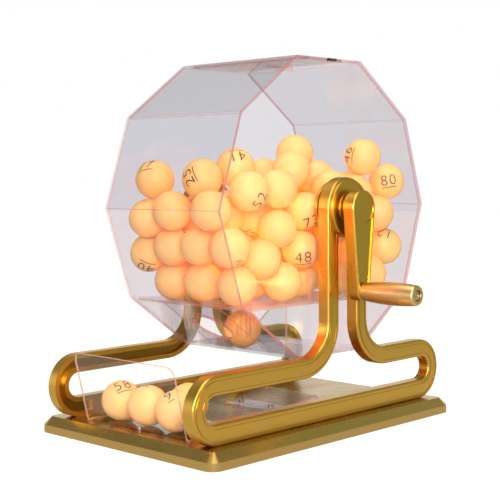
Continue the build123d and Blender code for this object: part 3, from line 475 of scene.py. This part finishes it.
def clear_sheet(name, rgb):
    """Cast acrylic sheet: clear, faintly tinted, mirroring more as it is seen edge-on."""
    material, tree, output = new_material(name)
    haze = grain(tree, 60 * MM, 3)
    rough = spread(tree, haze.outputs["Fac"], 0.015, 0.05)
    gloss = edge_on_gloss(tree)
    through = add_node(tree, "ShaderNodeBsdfTransparent", {"Color": opaque(rgb)})
    mirror = add_node(
        tree, "ShaderNodeBsdfAnisotropic", {"Color": (1, 1, 1, 1)},
        {"Roughness": rough.outputs["Result"]},
    )
    both = add_node(
        tree, "ShaderNodeMixShader", None,
        {0: gloss.outputs["Value"], 1: through.outputs["BSDF"], 2: mirror.outputs["BSDF"]},
    )
    tree.links.new(both.outputs["Shader"], output.inputs["Surface"])
    return material


def cut_edge(name, rgb, cover):
    """Sawn and flamed edge of the sheet: it gathers light, so it shows as a thin pink line."""
    material, tree, output = new_material(name)
    saw = grain(tree, 2.5 * MM, 3)
    tone = shade(tree, saw.outputs["Fac"], rgb, 0.82)
    rough = spread(tree, saw.outputs["Fac"], 0.12, 0.3)
    front = add_node(
        tree, "ShaderNodeBsdfPrincipled", {"IOR": 1.49},
        {"Base Color": tone.outputs["Result"], "Roughness": rough.outputs["Result"]},
    )
    back = add_node(tree, "ShaderNodeBsdfTranslucent", None, {"Color": tone.outputs["Result"]})
    solid = add_node(
        tree, "ShaderNodeMixShader", {0: EDGE_GATHERS},
        {1: front.outputs["BSDF"], 2: back.outputs["BSDF"]},
    )
    through = add_node(
        tree, "ShaderNodeBsdfTransparent", {"Color": opaque([1 - EDGE_DIMS * (1 - c) for c in rgb])}
    )
    both = add_node(
        tree, "ShaderNodeMixShader", {0: cover},
        {1: through.outputs["BSDF"], 2: solid.outputs["Shader"]},
    )
    tree.links.new(both.outputs["Shader"], output.inputs["Surface"])
    return material


# ---- pieces ----------------------------------------------------------------------------------
def finish_nodes(names, material):
    """Gives CAD nodes their finish."""
    for name in names:
        node = frame["nodes"][name]
        node.data.materials.clear()
        node.data.materials.append(material)


def body_of_node(name):
    """The body that carries a node."""
    bodies = frame["record"]["behaviour"]["bodies"]
    return next(body for body, members in bodies.items() if name in members)


def add_piece(name, mesh_data, materials):
    """Makes an object of a bmesh, at the origin, with its materials in order."""
    mesh = bpy.data.meshes.new(name)
    mesh_data.to_mesh(mesh)
    mesh_data.free()
    for material in materials:
        mesh.materials.append(material)
    piece = bpy.data.objects.new(name, mesh)
    bpy.context.scene.collection.objects.link(piece)
    return piece


def merged_copy(node_name):
    """A copy of a node's mesh with its corners joined."""
    shape = bmesh.new()
    shape.from_mesh(frame["nodes"][node_name].data)
    bmesh.ops.remove_doubles(shape, verts=shape.verts, dist=MERGE_WITHIN)
    for face in shape.faces:
        face.smooth = False
        face.material_index = 0
    return shape


def along(directions):
    """A test for faces that look along one of these directions, or against it."""
    normals = [Vector(d).normalized() for d in directions]
    return lambda face: any(abs(face.normal.dot(n)) > SAME_WAY for n in normals)


def add_sheet(node_name, is_sheet, materials, corner_line=0.0):
    """Clear sheet that stands for a node: its broad faces clear, its edges as cut."""
    shape = merged_copy(node_name)
    bmesh.ops.dissolve_limit(
        shape, angle_limit=math.radians(0.5), verts=shape.verts, edges=shape.edges,
        delimit={"NORMAL"},
    )
    if corner_line:
        bent = [
            e for e in shape.edges
            if len(e.link_faces) == 2 and all(is_sheet(f) for f in e.link_faces)
            and e.calc_face_angle() > FACET_TURN / 2
        ]
        bmesh.ops.bevel(
            shape, geom=bent, offset=corner_line, offset_type="OFFSET", affect="EDGES",
            segments=1, profile=0.5, material=-1, clamp_overlap=True,
        )
    shape.normal_update()
    for face in shape.faces:
        face.material_index = 0 if is_sheet(face) else 1
    piece = add_piece(node_name + "_clear", shape, materials)
    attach(piece, body_of_node(node_name))
    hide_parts(node_name)
    piece.visible_shadow = False
    return piece


def balls_of(node_name):
    """Centres and radius of the balls in a node, in order of their places."""
    shape = merged_copy(node_name)
    centres = []
    radius = 0.0
    reached = set()
    for start in shape.verts:
        if start in reached:
            continue
        reached.add(start)
        island = [start]
        stack = [start]
        while stack:
            for edge in stack.pop().link_edges:
                for vert in edge.verts:
                    if vert not in reached:
                        reached.add(vert)
                        island.append(vert)
                        stack.append(vert)
        low = Vector(min(v.co[i] for v in island) for i in range(3))
        high = Vector(max(v.co[i] for v in island) for i in range(3))
        middle = (low + high) / 2
        radius = max(radius, (high.z - low.z) / 2)
        if all((middle - c).length >= MM for c in centres):  # a hollow ball's inside comes too
            centres.append(middle)
    shape.free()
    centres.sort(key=lambda c: tuple(round(x / MM) for x in c))
    return centres, radius


def add_moved(shape, piece, shift=(0, 0, 0)):
    """Adds a small bmesh to a larger one, moved by shift."""
    mesh = bpy.data.meshes.new("part")
    piece.to_mesh(mesh)
    mesh.transform(Matrix.Translation(shift))
    shape.from_mesh(mesh)
    bpy.data.meshes.remove(mesh)


def add_balls(node_name, centres, radius, rings, material):
    """Smooth balls that stand for a node of balls."""
    ball = bmesh.new()
    bmesh.ops.create_uvsphere(ball, u_segments=2 * rings, v_segments=rings, radius=radius)
    for face in ball.faces:
        face.smooth = True
    shape = bmesh.new()
    for centre in centres:
        add_moved(shape, ball, centre)
    ball.free()
    piece = add_piece(node_name + "_smooth", shape, [material])
    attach(piece, body_of_node(node_name))
    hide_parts(node_name)


def flat_number(number, print_size):
    """A number and the line under it as a flat mesh centred on the origin, cut into small faces."""
    text = bpy.data.curves.new("number", "FONT")
    text.body = str(number)
    text.align_x = "CENTER"
    text.size = print_size.height / DIGIT_SHARE
    text.offset = -print_size.thinning
    text.space_character = LETTER_SPACE
    text.resolution_u = 4
    carrier = bpy.data.objects.new("number", text)
    bpy.context.scene.collection.objects.link(carrier)
    bpy.context.view_layer.update()
    depsgraph = bpy.context.evaluated_depsgraph_get()
    mesh = bpy.data.meshes.new_from_object(carrier.evaluated_get(depsgraph))
    bpy.data.objects.remove(carrier)
    bpy.data.curves.remove(text)
    shape = bmesh.new()
    shape.from_mesh(mesh)
    bpy.data.meshes.remove(mesh)
    bmesh.ops.remove_doubles(shape, verts=shape.verts, dist=0.001 * MM)
    wide = max(v.co.x for v in shape.verts) - min(v.co.x for v in shape.verts)
    line = bmesh.ops.create_grid(shape, x_segments=1, y_segments=1, size=0.5)["verts"]
    bmesh.ops.scale(shape, vec=(wide * LINE_SHARE, print_size.line, 1), verts=line)
    bmesh.ops.translate(shape, vec=(0, -print_size.line_gap, 0), verts=line)
    down = -print_size.height / 2 + print_size.line_gap / 2
    bmesh.ops.translate(shape, vec=(0, down, 0), verts=shape.verts)
    for axis in (0, 1):
        reach = max(abs(v.co[axis]) for v in shape.verts)
        step = -math.floor(reach / PRINT_FACE)
        while step * PRINT_FACE < reach:
            place = Vector((0, 0, 0))
            place[axis] = step * PRINT_FACE
            normal = Vector((0, 0, 0))
            normal[axis] = 1
            bmesh.ops.bisect_plane(
                shape, geom=shape.verts[:] + shape.edges[:] + shape.faces[:], plane_co=place,
                plane_no=normal,
            )
            step += 1
    return shape


def wrap(shape, centre, radius, facing, upward):
    """Lays a flat print on a ball, its middle where facing leaves the ball."""
    side = upward.cross(facing).normalized()
    up = facing.cross(side).normalized()
    for vert in shape.verts:
        flat = side * vert.co.x + up * vert.co.y
        arc = flat.length / radius
        if arc:
            flat.normalize()
        vert.co = centre + (facing * math.cos(arc) + flat * math.sin(arc)) * radius
    shape.normal_update()


def upward_at(facing, image_up, turn):
    """The direction that is up for a print, turned anticlockwise as the viewer sees it."""
    up = (image_up - facing * image_up.dot(facing)).normalized()
    return Quaternion(facing, turn) @ up


def ray_through(across, down):
    """Where the camera stands, and its line of sight through a point of the picture."""
    view = frame_camera()
    x = (across - PICTURE / 2) / FOCAL
    y = (PICTURE / 2 - down) / FOCAL
    return view["place"], (view["forward"] + view["right"] * x + view["up"] * y).normalized()


def ball_under(across, down, balls):
    """The ball that shows at a point of the picture, or just beside it, and the way there."""
    start, sight = ray_through(across, down)
    best = None
    for index, (centre, radius) in enumerate(balls):
        depth = (centre - start).dot(sight)
        beside = start + sight * depth - centre
        if beside.length < radius * BESIDE:
            into = math.sqrt(max(0.0, radius**2 - beside.length_squared))
            rank = (beside.length > radius, depth - into)
            if best is None or rank < best[0]:
                best = (rank, index, (beside - sight * into).normalized())
    return best


def frame_camera():
    """Place and directions of the camera."""
    forward = (CAMERA_AIM - CAMERA_PLACE).normalized()
    right = forward.cross(Vector((0, 0, 1))).normalized()
    up = right.cross(forward).normalized()
    rolled = right * math.cos(CAMERA_ROLL) + up * math.sin(CAMERA_ROLL)
    return {"place": CAMERA_PLACE, "forward": forward, "right": rolled, "up": rolled.cross(forward)}


# ---- operators -------------------------------------------------------------------------------
class RAFFLE_OT_castings(bpy.types.Operator):
    """Gold lacquer on the frames, hub covers, axles, crank arm, grip and base"""

    bl_idname = "raffle.castings"
    bl_label = "Gold castings and base"

    def execute(self, context):
        look = context.scene.raffle_finish
        # the frames' gold has painted shade on its channels' floors
        frames = lacquered_gold("gold_frame_painted_channel_shade", look.gold, FRAME_POLISH, painted_channel_shade=True)
        casting = lacquered_gold("gold_lacquered_casting", look.gold, FRAME_POLISH)
        grip = lacquered_gold("gold_lacquered_grip", look.grip_gold, GRIP_POLISH)
        base = lacquered_gold("gold_lacquered_base", look.base_gold, BASE_POLISH)
        finish_nodes(FRAME_NODES, frames)
        finish_nodes(GOLD_NODES, casting)
        finish_nodes(GRIP_NODES, grip)
        finish_nodes(BASE_NODES, base)
        return {"FINISHED"}


class RAFFLE_OT_fittings(bpy.types.Operator):
    """Screws, pins, bushes, feet, bottom panel and lid catch"""

    bl_idname = "raffle.fittings"
    bl_label = "Fittings"

    def execute(self, context):
        look = context.scene.raffle_finish
        finish_nodes(STEEL_NODES, bright_steel("bright_zinc_steel", look.steel))
        finish_nodes(BRONZE_NODES, sintered_bronze("sintered_bronze", look.bronze))
        finish_nodes(RUBBER_NODES, moulded_rubber("moulded_rubber", look.rubber))
        finish_nodes(DARK_NODES, moulded_panel("textured_black_abs", look.dark_plastic))
        return {"FINISHED"}


class RAFFLE_OT_drum(bpy.types.Operator):
    """Clear end caps, facets, shelf, stops, lane walls and lid"""

    bl_idname = "raffle.drum"
    bl_label = "Clear drum"

    def execute(self, context):
        look = context.scene.raffle_finish
        edge = cut_edge("flamed_acrylic_edge", look.cut_edge, EDGE_COVER)
        inner_edge = cut_edge("flamed_paler_edge_painted_light", look.inner_edge, INNER_COVER)
        cap = clear_sheet("cast_acrylic_cap", look.acrylic)
        facet = [clear_sheet("cast_acrylic_facet", look.facets), edge]
        inner = [clear_sheet("cast_acrylic_inner", look.inner), inner_edge]
        # the far cap's edges take the paler colour and less cover: painted light for edges seen from
        # inside the drum, in its shade
        far_paler_edge_painted_light = cut_edge("flamed_far_paler_edge_painted_light", look.inner_edge, FAR_COVER)
        level = along([(0, 0, 1)])
        add_sheet(NEAR_CAP, along([(1, 0, 0)]), [cap, edge])
        add_sheet(FAR_CAP, along([(1, 0, 0)]), [cap, far_paler_edge_painted_light])
        turns = [FACET_TURN * (k + 0.5) for k in range(DRUM_SIDES)]
        facets = along([(0, math.cos(a), math.sin(a)) for a in turns])
        add_sheet("drum_band", facets, facet, CORNER_LINE)
        add_sheet("lid", level, facet)
        for name in LEVEL_NODES:
            add_sheet(name, level, inner)
        for name, normal in UPRIGHT_NODES:
            add_sheet(name, along([normal]), inner)
        return {"FINISHED"}


class RAFFLE_OT_tray(bpy.types.Operator):
    """Folded clear tray"""

    bl_idname = "raffle.tray"
    bl_label = "Clear tray"

    def execute(self, context):
        look = context.scene.raffle_finish
        edge = cut_edge("flamed_tray_edge", look.tray_edge, TRAY_COVER)
        sheet = clear_sheet("folded_acrylic_sheet", look.acrylic)
        piece = add_sheet("tray", lambda face: abs(face.normal.x) < 0.05, [sheet, edge])
        low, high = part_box("tray")
        for face in piece.data.polygons:
            rim = face.center.z > high.z - TRAY_RIM and face.normal.z > 0.5
            fold = face.center.z < low.z + TRAY_BEND and face.center.y < low.y + TRAY_BEND
            if rim or fold:
                face.material_index = 1
        return {"FINISHED"}


class RAFFLE_OT_balls(bpy.types.Operator):
    """Balls in the drum, in the lane and in the tray"""

    bl_idname = "raffle.balls"
    bl_label = "Balls"

    def execute(self, context):
        rings = context.scene.raffle_print.rings
        material = celluloid("satin_celluloid", context.scene.raffle_finish.celluloid)
        for node in BALL_NODES:
            centres, radius = balls_of(node)
            add_balls(node, centres, radius, rings, material)
            all_balls.extend((c, radius, body_of_node(node)) for c in centres)
        return {"FINISHED"}


class RAFFLE_OT_numbers(bpy.types.Operator):
    """Plain numbers printed on the balls"""

    bl_idname = "raffle.numbers"
    bl_label = "Numbers"

    def execute(self, context):
        look = context.scene.raffle_print
        ink = printed_ink("brown_stamping_ink", context.scene.raffle_finish.ink)
        view = frame_camera()
        choose = random.Random(PRINT_SEED)
        balls = [(centre, radius) for centre, radius, _ in all_balls]
        placed = {}
        for number, across, down, turn in PRINTS_SEEN:
            hit = ball_under(across, down, balls)
            if hit is None:
                raise RuntimeError(f"no ball shows where the number {number} is")
            _, index, facing = hit
            if index not in placed:
                placed[index] = (number, facing, upward_at(facing, view["up"], math.radians(turn)))
        used = {number for number, _, _ in placed.values()}
        last = FIRST_NUMBER + len(balls) + len(used)
        spare = [n for n in range(FIRST_NUMBER, last) if n not in used]
        for index, (centre, _) in enumerate(balls):
            if index in placed:
                continue
            facing = Vector([choose.gauss(0, 1) for _ in range(3)]).normalized()
            to_camera = (view["place"] - centre).normalized()
            if facing.dot(to_camera) > TURNED_AWAY:
                facing = -facing
            turn = choose.uniform(0, math.tau)
            placed[index] = (spare.pop(0), facing, upward_at(facing, HIDDEN_UPWARD, turn))
        prints = {"stand": bmesh.new(), "drum": bmesh.new()}
        for index in sorted(placed):
            number, facing, upward = placed[index]
            centre, radius, body = all_balls[index]
            shape = flat_number(number, look)
            wrap(shape, centre, radius + PRINT_LIFT, facing, upward)
            add_moved(prints[body], shape)
            shape.free()
        for body, shape in prints.items():
            piece = add_piece("ball_numbers_" + body, shape, [ink])
            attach(piece, body)
        return {"FINISHED"}


class RAFFLE_OT_studio(bpy.types.Operator):
    """White floor, soft light, plain cards for the gold to mirror, and the camera"""

    bl_idname = "raffle.studio"
    bl_label = "Studio"

    def execute(self, context):
        studio = context.scene.raffle_studio
        make_floor()
        make_world(studio.ambient, studio.air)
        make_card("card_behind_right", CARD, studio.card)
        make_card("ceiling", CEILING, studio.ceiling)
        make_lamp("key_lamp", KEY_LAMP, studio.key, studio.warmth)
        make_card("ground", GROUND, studio.ground)
        make_lamp("top_lamp", TOP_LAMP, studio.fill, studio.warmth)
        make_lamp("front_lamp", FRONT_LAMP, studio.front, studio.warmth)
        for place in GLOW_PLACES:
            make_glow("glow_in_heap", place, studio.glow)
        make_glow("glow_under_shelf", GLOW_UNDER, studio.glow)
        make_camera()
        context.scene.view_settings.view_transform = "Standard"
        context.scene.cycles.transparent_max_bounces = CLEAR_BOUNCES
        return {"FINISHED"}


# ---- studio ----------------------------------------------------------------------------------
def seen_directly(tree):
    """1 for what the camera sees, straight, mirrored or through clear sheet, and 0 for light."""
    path = add_node(tree, "ShaderNodeLightPath")
    either = add_node(
        tree, "ShaderNodeMath", None,
        {0: path.outputs["Is Camera Ray"], 1: path.outputs["Is Glossy Ray"]}, operation="MAXIMUM",
    )
    return add_node(
        tree, "ShaderNodeMath", None,
        {0: either.outputs["Value"], 1: path.outputs["Is Transmission Ray"]}, operation="MAXIMUM",
    )


def make_floor():
    """Pale floor that shows white and keeps the object's shadow."""
    shape = bmesh.new()
    bmesh.ops.create_grid(shape, x_segments=1, y_segments=1, size=FLOOR_REACH)
    material, tree, output = new_material("white_floor")
    seen = seen_directly(tree).outputs["Value"]
    tone = add_node(
        tree, "ShaderNodeMapRange", {"To Min": FLOOR_BOUNCE, "To Max": FLOOR_PAPER}, {"Value": seen}
    )
    white = add_node(
        tree, "ShaderNodeMapRange", {"To Min": 0.0, "To Max": FLOOR_GLOW}, {"Value": seen}
    )
    paper = add_node(tree, "ShaderNodeBsdfDiffuse", None, {"Color": tone.outputs["Result"]})
    glow = add_node(
        tree, "ShaderNodeEmission", {"Color": (1, 1, 1, 1)}, {"Strength": white.outputs["Result"]}
    )
    both = add_node(
        tree, "ShaderNodeAddShader", None, {0: paper.outputs["BSDF"], 1: glow.outputs["Emission"]}
    )
    tree.links.new(both.outputs["Shader"], output.inputs["Surface"])
    add_piece("floor", shape, [material])


def make_world(ambient, air):
    """Soft light from all round, and white behind everything."""
    world = bpy.data.worlds.new("studio")
    world.use_nodes = True
    tree = world.node_tree
    tree.nodes.clear()
    seen = seen_directly(tree)
    strength = add_node(
        tree, "ShaderNodeMapRange", {"To Min": ambient, "To Max": 1.0}, {"Value": seen.outputs["Value"]}
    )
    tone = add_node(
        tree, "ShaderNodeMix", {"A": opaque(air), "B": (1, 1, 1, 1)},
        {"Factor": seen.outputs["Value"]}, data_type="RGBA",
    )
    light = add_node(
        tree, "ShaderNodeBackground", None,
        {"Color": tone.outputs["Result"], "Strength": strength.outputs["Result"]},
    )
    output = add_node(tree, "ShaderNodeOutputWorld")
    tree.links.new(light.outputs["Background"], output.inputs["Surface"])
    bpy.context.scene.world = world


def facing_turn(place, aim):
    """Rotation that turns -Z from a place to what it looks at."""
    return (Vector(aim) - Vector(place)).to_track_quat("-Z", "Y")


def make_card(name, card_spot, rgb):
    """Plain card, at its place, aim, width and height, that only mirrors see."""
    place, aim, width, height = card_spot
    shape = bmesh.new()
    bmesh.ops.create_grid(shape, x_segments=1, y_segments=1, size=0.5)
    bmesh.ops.scale(shape, vec=(width, height, 1), verts=shape.verts)
    turn = facing_turn(place, aim).to_matrix().to_4x4()
    bmesh.ops.transform(shape, matrix=Matrix.Translation(place) @ turn, verts=shape.verts)
    material, tree, output = new_material(name + "_grey")
    glow = add_node(tree, "ShaderNodeEmission", {"Color": opaque(rgb), "Strength": 1.0})
    tree.links.new(glow.outputs["Emission"], output.inputs["Surface"])
    card = add_piece(name, shape, [material])
    card.visible_camera = False
    card.visible_diffuse = False
    card.visible_shadow = False
    card.visible_transmission = False


def make_lamp(name, lamp_spot, power, rgb):
    """Square soft lamp, at its place and of its size, that looks at the drum."""
    place, size = lamp_spot
    lamp = bpy.data.lights.new(name, "AREA")
    lamp.shape = "SQUARE"
    lamp.size = size
    lamp.energy = power
    lamp.color = rgb
    holder = bpy.data.objects.new(name, lamp)
    holder.location = place
    holder.rotation_euler = facing_turn(place, LAMPS_AIM).to_euler()
    bpy.context.scene.collection.objects.link(holder)


def make_glow(name, place, power):
    """Small orange lamp among the balls, for the light that their shells pass on to one another."""
    lamp = bpy.data.lights.new(name, "POINT")
    lamp.energy = power
    lamp.color = GLOW_TONE
    lamp.shadow_soft_size = GLOW_SIZE
    lamp.use_shadow = False
    holder = bpy.data.objects.new(name, lamp)
    holder.location = place
    holder.visible_glossy = False
    holder.visible_camera = False
    bpy.context.scene.collection.objects.link(holder)


def make_camera():
    """The photograph's camera."""
    view = frame_camera()
    camera = bpy.data.cameras.new("photograph")
    camera.sensor_width = SENSOR
    camera.lens = SENSOR * FOCAL / PICTURE
    camera.clip_start = 0.05
    holder = bpy.data.objects.new("photograph", camera)
    turn = Matrix((view["right"], view["up"], -view["forward"])).transposed()
    holder.matrix_world = Matrix.Translation(view["place"]) @ turn.to_4x4()
    bpy.context.scene.collection.objects.link(holder)
    bpy.context.scene.camera = holder


# ---- panel and registration ------------------------------------------------------------------
OPERATORS = (
    RAFFLE_OT_castings, RAFFLE_OT_fittings, RAFFLE_OT_drum, RAFFLE_OT_tray, RAFFLE_OT_balls,
    RAFFLE_OT_numbers, RAFFLE_OT_studio,
)


class RAFFLE_PT_panel(bpy.types.Panel):
    """Sizes, colours and steps of the raffle drum"""

    bl_label = "Raffle drum"
    bl_idname = "RAFFLE_PT_panel"
    bl_space_type = "VIEW_3D"
    bl_region_type = "UI"
    bl_category = "Raffle drum"

    def draw(self, context):
        for group in ("raffle_finish", "raffle_print", "raffle_studio"):
            settings = getattr(context.scene, group)
            box = self.layout.box()
            for name in settings.__annotations__:
                box.prop(settings, name)
        for operator in OPERATORS:
            self.layout.operator(operator.bl_idname)


CLASSES = (RaffleFinish, RafflePrint, RaffleStudio, *OPERATORS, RAFFLE_PT_panel)


def register():
    for cls in CLASSES:
        bpy.utils.register_class(cls)
    bpy.types.Scene.raffle_finish = PointerProperty(type=RaffleFinish)
    bpy.types.Scene.raffle_print = PointerProperty(type=RafflePrint)
    bpy.types.Scene.raffle_studio = PointerProperty(type=RaffleStudio)


def unregister():
    del bpy.types.Scene.raffle_studio
    del bpy.types.Scene.raffle_print
    del bpy.types.Scene.raffle_finish
    for cls in reversed(CLASSES):
        bpy.utils.unregister_class(cls)


def main():
    register()
    bpy.ops.raffle.castings()
    bpy.ops.raffle.fittings()
    bpy.ops.raffle.drum()
    bpy.ops.raffle.tray()
    bpy.ops.raffle.balls()
    bpy.ops.raffle.numbers()
    bpy.ops.raffle.studio()


if __name__ == "__main__":
    main()
